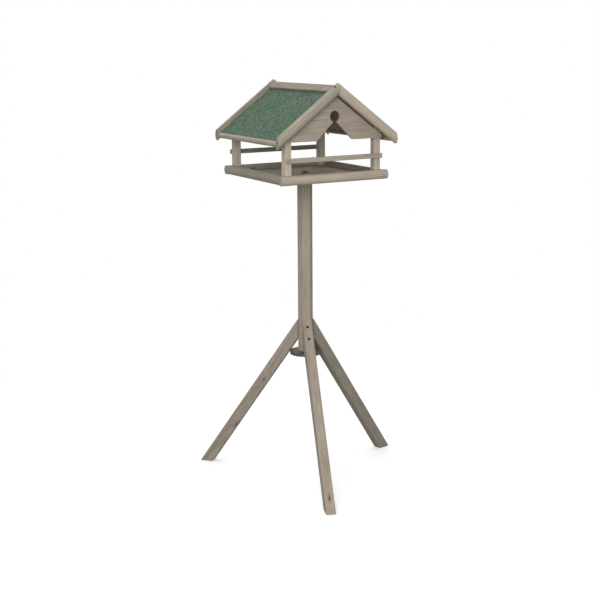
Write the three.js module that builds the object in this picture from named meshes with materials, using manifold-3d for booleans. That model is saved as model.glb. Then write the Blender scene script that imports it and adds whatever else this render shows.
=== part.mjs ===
// A bird table: a tray under a felted gable roof, on a hexagonal pole that three splayed legs carry.
// Millimetres, +Z up. The front gable faces -Y. The origin is the middle of the box round the whole
// table, at the height of the soles. Nothing on it moves: every piece is screwed or pinned.
import * as THREE from "three";
import { mergeVertices } from "three/addons/utils/BufferGeometryUtils.js";
import Module from "manifold-3d";

const wasm = await Module();
wasm.setup();

// Clearances
const fit = 0.3; // between pieces that touch, and round a screw in its hole
const overrun = 2; // how far a cut runs past the face it opens
const cutterReach = 600; // half the side of the blocks that trim a piece

// Tripod
const poleSides = 6;
const poleAcrossFlats = 45;
const poleLength = 598;
const tripodTurnDegrees = 18; // the front leg stands left of the gable's middle
const legCount = 3;
const legDepth = 37;
const legThickness = 32;
const legTopHeight = 552; // where the outer edge of a leg meets the pole
const legFootRadius = 398; // from the pole's axis to the tip of the sole
const discDiameter = 108;
const discThickness = 10;
const discSides = 48;

// House: the posts' outer faces are the frame that everything else is set from
const houseWidth = 352;
const houseDepth = 374;
const postSection = 23;
const postLength = 139; // outer, shorter side, floor to roof panel

// Tray
const trayBoardHeight = 30;
const trayBoardThickness = 20;
const floorThickness = 12;

// Rounded noses of the tray boards and bargeboards
const noseDepth = 12;
const noseSteps = 8;

// Rails across the gable ends
const railHeight = 15.5;
const railThickness = 8;
const railAboveTray = 38;
const railSideStep = 3.5; // each rail sits a little to its right, seen from outside

// Gable panels
const gableThickness = 8;
const gableSideHeight = 9.9; // the short upright edge at each post
const gableClearance = 7; // from the roof's underside, square to the slope
const notchHalfWidth = 65;
const notchFootRadius = 9;
const notchFootSteps = 4;
const keyholeDiameter = 35;
const keyholeAboveGableFoot = 75;
const keyholeNeck = 10;
const keyholeHalfSteps = 10;

// Roof
const pitchDegrees = 36.5;
const eavesOverhang = 42; // level, from the posts' outer faces to the plumb-cut ends of the bargeboards
const gableOverhang = 20; // from the posts' outer faces to the backs of the bargeboards
const panelThickness = 8;
const feltThickness = 2;
const bargeboardDepth = 30;
const bargeboardThickness = 20;
const bargeboardProud = 14; // above the felt
const eavesStripThickness = 13;
const eavesStripDepth = 18;
const eavesStripInset = 3; // behind the ends of the bargeboards
const eavesNoseDepth = 8;
const ridgeBoardWidth = 30;
const ridgeBoardThickness = 8;

// Fasteners: a head, flat underneath or countersunk, a shank and a point
const headSides = 12;
const headRim = 0.4; // a countersunk head's straight edge
const legScrew = { head: 9, headDepth: 3.5, shank: 5, point: 6, flat: false };
const legScrewDrops = [21, 57]; // below the top of the leg
const legScrewGrip = 17; // into the pole
const legScrewSink = 2; // the head's depth below the outer edge of the leg
const trayScrew = { head: 13, headDepth: 4, shank: 7, point: 9, flat: true };
const trayScrewLength = 70;
const washerDiameter = 26;
const washerThickness = 2;
const washerSides = 24;
const discScrew = { head: 10, headDepth: 4, shank: 5.5, point: 7, flat: false };
const discScrewLength = 55;
const postScrew = { head: 8, headDepth: 3.5, shank: 4, point: 5, flat: false };
const postScrewLength = 50;
const pin = { head: 3, headDepth: 1, shank: 1.8, point: 3, flat: true };
const pinLength = 26;
const pinSink = 0.3; // the head's depth below the face of the wood
const gablePinAboveFoot = 8;
const roofScrew = { head: 7.5, headDepth: 3, shank: 3.5, point: 4, flat: false };
const ridgeScrewSink = 0.3; // the head's depth below the face of the wood
const ridgeScrewFromEnds = [70, 50]; // from the front and the rear bargeboard
const ridgeScrewFromRidge = 16;
const ridgeScrewLength = 17;
const mitreScrewFromApex = 19;
const mitreScrewSetBack = 11; // from the back of the bargeboard
const mitreScrewDipDegrees = 30; // below level
const mitreScrewLength = 40;
const mitreScrewSink = 1.2;

// Worked out from the sizes above
const poleFace = poleAcrossFlats / 2;
const legSpread = (legFootRadius - poleFace - fit) / legTopHeight; // outwards for each mm down
const splay = Math.atan(legSpread);
const legLevelDepth = legDepth / Math.cos(splay); // measured level instead of square to the leg
const discRadius = discDiameter / 2;
const washerRadius = washerDiameter / 2;
const discTop = legTopHeight - (discRadius + legLevelDepth - poleFace) / legSpread;
const trayBottom = discTop + fit + poleLength + fit;
const pitch = THREE.MathUtils.degToRad(pitchDegrees);
const postX = houseWidth / 2;
const postY = houseDepth / 2;
const trayHalfWidth = postX + fit + trayBoardThickness;
const postFoot = floorThickness + fit;
const endWallY = postY + fit; // the plane that rails and gable panels lie against
const railFoot = trayBoardHeight + railAboveTray;
const roofEaves = postFoot + postLength + fit / Math.cos(pitch); // the panel's underside at the posts
const gableDrop = gableClearance / Math.cos(pitch); // the same clearance, measured upright
const gableFoot = roofEaves - gableDrop - gableSideHeight;
const roofApex = roofEaves + postX * Math.tan(pitch);
const feltTop = panelThickness + fit + feltThickness;
const bargeboardTop = feltTop + bargeboardProud;
const bargeboardFoot = bargeboardTop - bargeboardDepth;
const bargeboardBack = postY + gableOverhang;
const panelHalfLength = bargeboardBack - fit;
const roofHalfWidth = postX + eavesOverhang;
const eavesNoseX = roofHalfWidth - eavesStripInset;

// Timber finishes and fittings, as they show
const glazedPine = { color: 0x9d9381, roughness: 0.78, metalness: 0 };
const glazedPineFloor = { color: 0x8d826f, roughness: 0.85, metalness: 0 };
const glazedPly = { color: 0x857a68, roughness: 0.85, metalness: 0 };
const mineralFelt = { color: 0x5f7869, roughness: 0.95, metalness: 0 };
const darkZinc = { color: 0x4d4740, roughness: 0.45, metalness: 0.85 };

const X = new THREE.Vector3(1, 0, 0);
const Y = new THREE.Vector3(0, 1, 0);
const Z = new THREE.Vector3(0, 0, 1);

// Solids and cuts

function toSolid(geometry) {
  const bare = geometry.clone();
  bare.deleteAttribute("normal");
  bare.deleteAttribute("uv");
  const merged = mergeVertices(bare);
  return new wasm.Manifold(
    new wasm.Mesh({
      numProp: 3,
      vertProperties: new Float32Array(merged.attributes.position.array),
      triVerts: new Uint32Array(merged.index.array),
    }),
  );
}

function toGeometry(solid) {
  const { vertProperties, triVerts } = solid.getMesh();
  const geometry = new THREE.BufferGeometry();
  geometry.setAttribute("position", new THREE.BufferAttribute(new Float32Array(vertProperties), 3));
  geometry.setIndex(new THREE.BufferAttribute(new Uint32Array(triVerts), 1));
  const faceted = geometry.toNonIndexed();
  faceted.computeVertexNormals();
  return faceted;
}

function drilled(geometry, holes) {
  return toGeometry(holes.reduce((solid, hole) => solid.subtract(toSolid(hole)), toSolid(geometry)));
}

function trimmed(geometry, block) {
  return toGeometry(toSolid(geometry).intersect(toSolid(block)));
}

function piece(name, finish, geometry) {
  const mesh = new THREE.Mesh(geometry, new THREE.MeshStandardMaterial(finish));
  mesh.name = name;
  return mesh;
}

// An outline of [across, up] points becomes a bar: across and up turn to the given directions, and
// the bar runs the given length along their cross product, from zero.
function bar(outline, across, up, length) {
  const shape = new THREE.Shape(outline.map(([a, u]) => new THREE.Vector2(a, u)));
  const geometry = new THREE.ExtrudeGeometry(shape, { depth: length, bevelEnabled: false });
  const along = new THREE.Vector3().crossVectors(across, up);
  return geometry.applyMatrix4(new THREE.Matrix4().makeBasis(across, up, along));
}

function arc(centreAcross, centreUp, radiusAcross, radiusUp, from, to, steps) {
  return Array.from({ length: steps + 1 }, (_, i) => {
    const angle = from + ((to - from) * i) / steps;
    return [centreAcross + radiusAcross * Math.cos(angle), centreUp + radiusUp * Math.sin(angle)];
  });
}

// A board's section with a flat back at zero and a rounded nose at its thickness.
function nosedSection(thickness, nose, foot, top) {
  const middle = (foot + top) / 2;
  const half = (top - foot) / 2;
  const round = arc(thickness - nose, middle, nose, half, -Math.PI / 2, Math.PI / 2, noseSteps);
  return [[0, foot], ...round, [0, top]];
}

// A copy seen in a mirror across x, y or both, with its faces still pointing out.
function mirrored(geometry, sx, sy) {
  const copy = geometry.clone().applyMatrix4(new THREE.Matrix4().makeScale(sx, sy, 1));
  if (sx * sy < 0) copy.index.array.reverse();
  return copy;
}

// A block that fills x from one value to another and is boundless otherwise.
function slab(fromX, toX) {
  const block = new THREE.BoxGeometry(toX - fromX, 2 * cutterReach, 2 * cutterReach);
  return block.translate((fromX + toX) / 2, 0, 0);
}

// Fasteners point down their own Z axis, with the top of the head at zero.

function fastenerProfile({ head, headDepth, shank, point, flat }, length, gap, top) {
  const shoulder = flat ? [[head / 2 + gap, -headDepth - gap]] : [[head / 2 + gap, -gap - headRim]];
  return [
    [0, -length - gap],
    [shank / 2 + gap, point - length - gap],
    [shank / 2 + gap, -headDepth - gap],
    ...shoulder,
    [head / 2 + gap, top],
    [0, top],
  ].map(([radius, height]) => new THREE.Vector2(radius, height));
}

function fastener(kind, length) {
  return new THREE.LatheGeometry(fastenerProfile(kind, length, 0, 0), headSides);
}

// The hole that a fastener sits in, open above its head.
function fastenerHole(kind, length, above) {
  return new THREE.LatheGeometry(fastenerProfile(kind, length, fit, above), headSides);
}

// Stands a fastener or its hole with its head at a point and its shank along a direction.
function driven(geometry, head, direction) {
  const turn = new THREE.Quaternion().setFromUnitVectors(Y.clone().negate(), direction);
  return geometry.applyQuaternion(turn).translate(head.x, head.y, head.z);
}

// Tripod

function legOuterRadius(height) {
  return poleFace + fit + (legTopHeight - height) * legSpread;
}

// A leg in its own plane: X points out from the pole, and the board's thickness lies along Y.
function legOutline() {
  const sole = legOuterRadius(0);
  const innerMeetsPole = legTopHeight - legLevelDepth / legSpread;
  return [
    [sole - legLevelDepth, 0],
    [sole, 0],
    [poleFace + fit, legTopHeight],
    [poleFace + fit, innerMeetsPole],
  ];
}

function legScrewAt(drop) {
  const height = legTopHeight - drop;
  const head = new THREE.Vector3(legOuterRadius(height) - legScrewSink, 0, height);
  const length = head.x - poleFace + legScrewGrip;
  return { head, length };
}

function legScrewHoles() {
  return legScrewDrops.map((drop) => {
    const { head, length } = legScrewAt(drop);
    const above = legScrewSink + legScrew.head * legSpread + overrun;
    return driven(fastenerHole(legScrew, length, above), head, X.clone().negate());
  });
}

function leg(name) {
  const board = bar(legOutline(), X, Z, legThickness).translate(0, legThickness / 2, 0);
  const group = new THREE.Group();
  group.add(piece("leg_" + name, glazedPine, drilled(board, legScrewHoles())));
  legScrewDrops.forEach((drop, i) => {
    const { head, length } = legScrewAt(drop);
    const screw = driven(fastener(legScrew, length), head, X.clone().negate());
    group.add(piece("leg_screw_" + name + "_" + ["upper", "lower"][i], darkZinc, screw));
  });
  return group;
}

function legAngle(index) {
  return (index * 2 * Math.PI) / legCount;
}

function hexagonalPole() {
  const corner = poleFace / Math.cos(Math.PI / poleSides);
  const outline = Array.from({ length: poleSides }, (_, i) => {
    const angle = ((2 * i + 1) * Math.PI) / poleSides;
    return [corner * Math.cos(angle), corner * Math.sin(angle)];
  });
  return bar(outline, X, Y, poleLength).translate(0, 0, discTop + fit);
}

function pole() {
  const sideHoles = Array.from({ length: legCount }, (_, i) =>
    legScrewHoles().map((hole) => hole.rotateZ(legAngle(i))),
  ).flat();
  const topHole = trayScrewHole().translate(0, 0, trayBottom);
  return piece("pole", glazedPine, drilled(hexagonalPole(), [...sideHoles, topHole, discScrewHole()]));
}

function discScrewHead() {
  return new THREE.Vector3(0, 0, discTop - discThickness);
}

function discScrewHole() {
  return driven(fastenerHole(discScrew, discScrewLength, overrun), discScrewHead(), Z);
}

function baseDisc() {
  const disc = new THREE.CylinderGeometry(discRadius, discRadius, discThickness, discSides);
  disc.rotateX(Math.PI / 2).translate(0, 0, discTop - discThickness / 2);
  return piece("base_disc", glazedPine, drilled(disc, [discScrewHole()]));
}

function tripod() {
  const group = new THREE.Group();
  group.add(pole(), baseDisc());
  group.add(piece("disc_screw", darkZinc, driven(fastener(discScrew, discScrewLength), discScrewHead(), Z)));
  ["front", "right", "left"].forEach((name, i) => {
    const member = leg(name);
    member.rotation.z = legAngle(i);
    group.add(member);
  });
  group.rotation.z = -Math.PI / 2 - THREE.MathUtils.degToRad(tripodTurnDegrees);
  return group;
}

// Tray, with heights from the tray's underside

function trayScrewHead() {
  return new THREE.Vector3(0, 0, floorThickness + fit + washerThickness + fit + trayScrew.headDepth);
}

function trayScrewHole() {
  return driven(fastenerHole(trayScrew, trayScrewLength, overrun), trayScrewHead(), Z.clone().negate());
}

function trayFloor() {
  const width = 2 * postX;
  const depth = 2 * postY;
  const sheet = new THREE.BoxGeometry(width, depth, floorThickness).translate(0, 0, floorThickness / 2);
  const holes = cornerSigns.map(([sx, sy]) => mirrored(postScrewHole(), sx, sy));
  return piece("tray_floor", glazedPineFloor, drilled(sheet, [...holes, trayScrewHole()]));
}

// A rounded edge board: it runs along X, centred, and its nose points to -Y.
function edgeBoard(length) {
  const section = nosedSection(trayBoardThickness, noseDepth, 0, trayBoardHeight);
  return bar(section, Y.clone().negate(), Z, length).translate(length / 2, 0, 0);
}

function trayBoards() {
  const across = 2 * trayHalfWidth;
  const between = 2 * postY;
  const places = [
    ["front", across, 0, -(postY + fit), 0],
    ["rear", across, Math.PI, postY + fit, 0],
    ["left", between, -Math.PI / 2, 0, -(postX + fit)],
    ["right", between, Math.PI / 2, 0, postX + fit],
  ];
  return places.map(([name, length, turn, y, x]) => {
    const board = piece("tray_board_" + name, glazedPine, edgeBoard(length));
    board.rotation.z = turn;
    board.position.set(x, y, 0);
    return board;
  });
}

function trayFixing() {
  const washer = new THREE.CylinderGeometry(washerRadius, washerRadius, washerThickness, washerSides);
  washer.rotateX(Math.PI / 2).translate(0, 0, floorThickness + fit + washerThickness / 2);
  const screw = driven(fastener(trayScrew, trayScrewLength), trayScrewHead(), Z.clone().negate());
  return [
    piece("tray_washer", darkZinc, drilled(washer, [trayScrewHole()])),
    piece("tray_screw", darkZinc, screw),
  ];
}

// Posts: built for the front right corner and mirrored to the others

const cornerSigns = [
  [1, 1],
  [-1, 1],
  [1, -1],
  [-1, -1],
];

function cornerName(sx, sy) {
  return (sy > 0 ? "front" : "rear") + "_" + (sx > 0 ? "right" : "left");
}

function postScrewHead() {
  return new THREE.Vector3(postX - postSection / 2, -postY + postSection / 2, 0);
}

function postScrewHole() {
  return driven(fastenerHole(postScrew, postScrewLength, overrun), postScrewHead(), Z);
}

// The rail's pin and the gable's pin into the front right post, heads outside.
function endPins() {
  const x = postX - postSection / 2;
  const railFace = endWallY + railThickness;
  const gableFace = endWallY + gableThickness;
  return [
    ["rail_pin", new THREE.Vector3(x, pinSink - railFace, railFoot + railHeight / 2)],
    ["gable_pin", new THREE.Vector3(x, pinSink - gableFace, gableFoot + gablePinAboveFoot)],
  ];
}

function endPinHoles() {
  return endPins().map(([, head]) => driven(fastenerHole(pin, pinLength, overrun), head, Y));
}

function roofUnderside(x) {
  return roofApex - x * Math.tan(pitch);
}

function postSolid() {
  const drop = fit / Math.cos(pitch);
  const inner = postX - postSection;
  const outline = [
    [inner, postFoot],
    [postX, postFoot],
    [postX, roofUnderside(postX) - drop],
    [inner, roofUnderside(inner) - drop],
  ];
  const post = bar(outline, X, Z, postSection).translate(0, -postY + postSection, 0);
  return drilled(post, [postScrewHole(), ...endPinHoles()]);
}

function corner(sx, sy) {
  const group = new THREE.Group();
  const name = cornerName(sx, sy);
  group.add(piece("post_" + name, glazedPine, postSolid()));
  const screw = driven(fastener(postScrew, postScrewLength), postScrewHead(), Z);
  group.add(piece("post_screw_" + name, darkZinc, screw));
  endPins().forEach(([label, head]) => {
    group.add(piece(label + "_" + name, darkZinc, driven(fastener(pin, pinLength), head, Y)));
  });
  group.scale.set(sx, sy, 1);
  return group;
}

// End walls: built for the front and turned half round for the rear

function rail() {
  const board = new THREE.BoxGeometry(houseWidth, railThickness, railHeight);
  board.translate(railSideStep, -(endWallY + railThickness / 2), railFoot + railHeight / 2);
  return drilled(board, bothSides(endPinHoles()));
}

function bothSides(holes) {
  return holes.flatMap((hole) => [hole, mirrored(hole, -1, 1)]);
}

// Half of the panel's lower edge, from the side in to the keyhole: [x, height above the gable's foot].
function notchHalf() {
  const radius = keyholeDiameter / 2;
  const neck = keyholeNeck / 2;
  const neckHeight = keyholeAboveGableFoot - Math.sqrt(radius * radius - neck * neck);
  const slope = Math.atan2(neckHeight, notchHalfWidth - neck);
  const reach = notchFootRadius * Math.tan(slope / 2);
  const foot = arc(
    notchHalfWidth + reach, notchFootRadius, notchFootRadius, notchFootRadius,
    -Math.PI / 2, -Math.PI / 2 - slope, notchFootSteps,
  );
  const opening = Math.asin(neck / radius);
  const round = arc(
    0, keyholeAboveGableFoot, radius, radius,
    -Math.PI / 2 + opening, Math.PI / 2, keyholeHalfSteps,
  );
  return [[postX, 0], ...foot, ...round];
}

function gable() {
  const half = notchHalf();
  const otherHalf = half.slice(0, -1).reverse().map(([x, up]) => [-x, up]);
  const peak = roofUnderside(0) - gableDrop - gableFoot;
  const outline = [...half, ...otherHalf, [-postX, gableSideHeight], [0, peak], [postX, gableSideHeight]];
  const panel = bar(outline, X, Z, gableThickness).translate(0, -endWallY, gableFoot);
  return drilled(panel, bothSides(endPinHoles()));
}

function endWall(name) {
  const group = new THREE.Group();
  group.add(piece("rail_" + name, glazedPine, rail()));
  group.add(piece("gable_" + name, glazedPine, gable()));
  group.rotation.z = name === "rear" ? Math.PI : 0;
  return group;
}

// Roof: the right half is built and the left half is its mirror image. A place on a slope is
// [down the slope, square to it], measured from the panel's underside at the ridge.

const down = new THREE.Vector3(Math.cos(pitch), 0, -Math.sin(pitch));
const out = new THREE.Vector3(Math.sin(pitch), 0, Math.cos(pitch));

function onSlope(along, square, y) {
  return new THREE.Vector3(0, y, roofApex).addScaledVector(down, along).addScaledVector(out, square);
}

// Where the middle plane of the roof, or a level place out from it, crosses a layer of the slope.
function alongAt(x, square) {
  return x / Math.cos(pitch) - square * Math.tan(pitch);
}

function layer(foot, top, endAlong, halfLength) {
  const outline = [
    [alongAt(fit / 2, foot), foot],
    [endAlong, foot],
    [endAlong, top],
    [alongAt(fit / 2, top), top],
  ];
  const sheet = bar(outline, down, out, 2 * halfLength);
  return sheet.translate(0, halfLength, roofApex);
}

function eavesEnd() {
  return alongAt(eavesNoseX, panelThickness / 2) - eavesStripThickness - fit;
}

function eavesStrip() {
  const top = feltTop;
  const section = nosedSection(eavesStripThickness, eavesNoseDepth, top - eavesStripDepth, top);
  const placed = section.map(([across, up]) => [eavesEnd() + fit + across, up]);
  return bar(placed, down, out, 2 * panelHalfLength).translate(0, panelHalfLength, roofApex);
}

function ridgeScrewHeads() {
  const square = feltTop + fit + ridgeBoardThickness - ridgeScrewSink;
  const along = alongAt(0, square) + ridgeScrewFromRidge;
  const [front, rear] = ridgeScrewFromEnds;
  return [onSlope(along, square, front - panelHalfLength), onSlope(along, square, panelHalfLength - rear)];
}

function ridgeScrewHoles() {
  const inward = out.clone().negate();
  const hole = () => fastenerHole(roofScrew, ridgeScrewLength, overrun);
  return ridgeScrewHeads().map((head) => driven(hole(), head, inward));
}

function ridgeBoard() {
  const foot = feltTop + fit;
  const top = foot + ridgeBoardThickness;
  return layer(foot, top, alongAt(0, top) + ridgeBoardWidth, panelHalfLength);
}

// The mitre screw, of the same kind as the post screws, goes in through the top edge of the left
// bargeboard, leans towards the ridge and runs on into the right bargeboard.
function mitreScrew(geometry) {
  const along = alongAt(0, bargeboardTop) + mitreScrewFromApex;
  const head = onSlope(along, bargeboardTop - mitreScrewSink, -bargeboardBack - mitreScrewSetBack);
  const dip = THREE.MathUtils.degToRad(mitreScrewDipDegrees);
  const inward = new THREE.Vector3(-Math.cos(dip), 0, -Math.sin(dip));
  return mirrored(driven(geometry, head, inward), -1, 1);
}

function bargeboard(holes) {
  const section = nosedSection(bargeboardThickness, noseDepth, bargeboardFoot, bargeboardTop);
  const half = 2 * roofHalfWidth;
  const board = bar(section, Y.clone().negate(), out, 2 * half);
  const laid = board.translate(half * down.x, 0, roofApex + half * down.z);
  const cut = trimmed(laid, slab(fit / 2, roofHalfWidth));
  return drilled(cut.translate(0, -bargeboardBack, 0), holes);
}

function mitreScrewHole() {
  const above = mitreScrewSink + postScrew.head + overrun;
  return mitreScrew(fastenerHole(postScrew, mitreScrewLength, above));
}

function roofHalf(name, sx) {
  const group = new THREE.Group();
  const mitreHole = mirrored(mitreScrewHole(), sx, 1);
  const holes = ridgeScrewHoles();
  const panel = layer(0, panelThickness, eavesEnd(), panelHalfLength);
  const felt = layer(panelThickness + fit, feltTop, eavesEnd(), panelHalfLength);
  group.add(piece("roof_panel_" + name, glazedPly, drilled(panel, holes)));
  group.add(piece("felt_" + name, mineralFelt, drilled(felt, holes)));
  group.add(piece("ridge_board_" + name, glazedPine, drilled(ridgeBoard(), holes)));
  group.add(piece("eaves_strip_" + name, glazedPine, eavesStrip()));
  ridgeScrewHeads().forEach((head, i) => {
    const body = driven(fastener(roofScrew, ridgeScrewLength), head, out.clone().negate());
    group.add(piece("ridge_screw_" + name + "_" + ["front", "rear"][i], darkZinc, body));
  });
  ["front", "rear"].forEach((end) => {
    const board = piece("bargeboard_" + end + "_" + name, glazedPine, bargeboard([mitreHole]));
    board.scale.y = end === "rear" ? -1 : 1;
    group.add(board);
  });
  group.scale.x = sx;
  return group;
}

function mitreScrews() {
  return ["front", "rear"].map((end) => {
    const screw = mitreScrew(fastener(postScrew, mitreScrewLength));
    const body = piece("mitre_screw_" + end, darkZinc, screw);
    body.scale.y = end === "rear" ? -1 : 1;
    return body;
  });
}

// Assembly

function house() {
  const group = new THREE.Group();
  group.add(trayFloor(), ...trayBoards(), ...trayFixing());
  cornerSigns.forEach(([sx, sy]) => group.add(corner(sx, sy)));
  group.add(endWall("front"), endWall("rear"));
  group.add(roofHalf("right", 1), roofHalf("left", -1), ...mitreScrews());
  group.position.z = trayBottom;
  return group;
}

const table = new THREE.Group();
table.add(tripod(), house());
table.updateMatrixWorld(true);
const extent = new THREE.Box3().setFromObject(table, true);
const middle = extent.getCenter(new THREE.Vector3());
table.position.set(-middle.x, -middle.y, -extent.min.z);

const birdTable = new THREE.Group();
birdTable.add(table);

export default birdTable;
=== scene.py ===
"""The looks of a garden bird table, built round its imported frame.

Every board, the felt, the screws and the pins are modelled again with eased edges, real noses and
turned heads, in the places that the frame gives, and each gets a procedural finish. Shapes are
built in millimetres and turned to metres when a piece is made.
"""

from __future__ import annotations

import logging
import math
import random
from collections.abc import Sequence
from dataclasses import dataclass
from enum import Enum

import bmesh
import bpy
import numpy as np
from mathutils import Matrix, Vector, noise

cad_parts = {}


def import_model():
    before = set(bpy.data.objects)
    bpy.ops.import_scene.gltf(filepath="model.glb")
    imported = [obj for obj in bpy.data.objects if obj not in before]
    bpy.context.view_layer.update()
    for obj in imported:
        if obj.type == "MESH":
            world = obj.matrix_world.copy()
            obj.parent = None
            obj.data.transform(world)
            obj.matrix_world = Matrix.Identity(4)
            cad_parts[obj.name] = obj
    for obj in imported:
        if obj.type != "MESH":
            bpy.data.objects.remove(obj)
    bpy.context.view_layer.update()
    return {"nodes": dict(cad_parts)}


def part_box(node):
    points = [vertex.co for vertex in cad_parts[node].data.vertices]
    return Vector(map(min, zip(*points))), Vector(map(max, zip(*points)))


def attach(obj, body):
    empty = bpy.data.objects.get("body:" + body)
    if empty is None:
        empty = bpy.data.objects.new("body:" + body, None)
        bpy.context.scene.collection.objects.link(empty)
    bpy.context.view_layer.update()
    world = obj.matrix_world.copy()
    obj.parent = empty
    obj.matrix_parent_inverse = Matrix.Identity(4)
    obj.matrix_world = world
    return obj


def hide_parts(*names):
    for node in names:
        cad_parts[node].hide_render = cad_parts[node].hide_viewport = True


log = logging.getLogger("bird_table")

Shape = bmesh.types.BMesh
Tree = bpy.types.NodeTree
Node = bpy.types.Node
Socket = bpy.types.NodeSocket

MM = 0.001
X = Vector((1, 0, 0))
Y = Vector((0, 1, 0))
Z = Vector((0, 0, 1))
FULL_TURN = 2 * math.pi
FIT = 0.3  # the gap between pieces that touch
MERGE = 0.001  # points nearer than this are one
SHARP = math.radians(35)  # edges that turn more than this are eased
SMOOTH = math.radians(50)  # edges that turn less than this are shaded smooth
EASE_FACETS = 2
NOSE_FACETS = 16
HEXAGON_SIDES = 6  # those of the pole and of a coach screw's head
ENDS = {"front": -1, "rear": 1}
SIDES = {"right": 1, "left": -1}
LEGS = ("front", "right", "left")
WHITE = (1.0, 1.0, 1.0, 1.0)
SHARE, FIRST, SECOND = 0, 6, 7  # the inputs of a node that mixes two colours
ACROSS = (0.0, 1.0, 1.0)  # leaves out the way along the fibres


class Slot(Enum):
    """The material slots."""

    PINE = "glazed_pine"
    PLYWOOD = "glazed_plywood"
    FELT = "mineral_felt"
    ZINC = "dark_zinc"


class Drive(Enum):
    """What a fastener's head has for the tool that drives it."""

    NONE = "none"
    CROSS = "cross"
    HEXAGON = "hexagon"


# Nodes and colours


def linear(code: str) -> tuple[float, float, float, float]:
    """Turns an sRGB hex colour to linear light.

    Args:
        code: six hex digits, such as "a39884".

    Returns:
        Red, green, blue and an alpha of one.
    """
    shares = [int(code[i : i + 2], 16) / 255 for i in (0, 2, 4)]
    light = [s / 12.92 if s <= 0.04045 else ((s + 0.055) / 1.055) ** 2.4 for s in shares]
    return (*light, 1.0)


def add_node(
    tree: Tree, kind: str, inputs: Sequence[object] | dict[int | str, object] = (), **settings: object
) -> Node:
    """Adds a node with its settings, values and links.

    Args:
        tree: the material's or world's node tree.
        kind: the node's type without its "ShaderNode", such as "Math".
        inputs: the inputs in order, or by name or index: a value, an output socket, or a node whose
            first output in use is meant.
        settings: attributes of the node by name.

    Returns:
        The new node.
    """
    node = tree.nodes.new("ShaderNode" + kind)
    for name, value in settings.items():
        setattr(node, name, value)
    for name, value in inputs.items() if isinstance(inputs, dict) else enumerate(inputs):
        if isinstance(value, Node):
            value = next(socket for socket in value.outputs if socket.enabled)
        if isinstance(value, Socket):
            tree.links.new(value, node.inputs[name])
        else:
            node.inputs[name].default_value = value
    return node


def new_material(name: str) -> tuple[bpy.types.Material, Tree]:
    """Makes a material with no nodes.

    Args:
        name: the material's name.

    Returns:
        The material and its node tree.
    """
    material = bpy.data.materials.new(name)
    material.use_nodes = True
    material.node_tree.nodes.clear()
    return material, material.node_tree


# Finishes


@dataclass(frozen=True)
class Streak:
    """Noise drawn out along the fibres.

    Attributes:
        length_mm: size of a streak along the fibres.
        width_mm: size of a streak across them.
        octaves: how many times finer noise is added.
        fineness: how strong the finer noise is.
    """

    length_mm: float
    width_mm: float
    octaves: float
    fineness: float = 0.6

    def drawn(self, tree: Tree, place: Node | Socket) -> Node:
        """Adds the noise.

        Args:
            tree: the material's nodes.
            place: the place in the timber.

        Returns:
            The noise, whose factor lies round one half.
        """
        shares = (1 / self.length_mm, 1 / self.width_mm, 1 / self.width_mm)
        scaled = add_node(tree, "VectorMath", (place, shares), operation="MULTIPLY")
        inputs = {"Scale": 1.0, "Detail": self.octaves, "Roughness": self.fineness}
        return add_node(tree, "TexNoise", {"Vector": scaled, **inputs})


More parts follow.
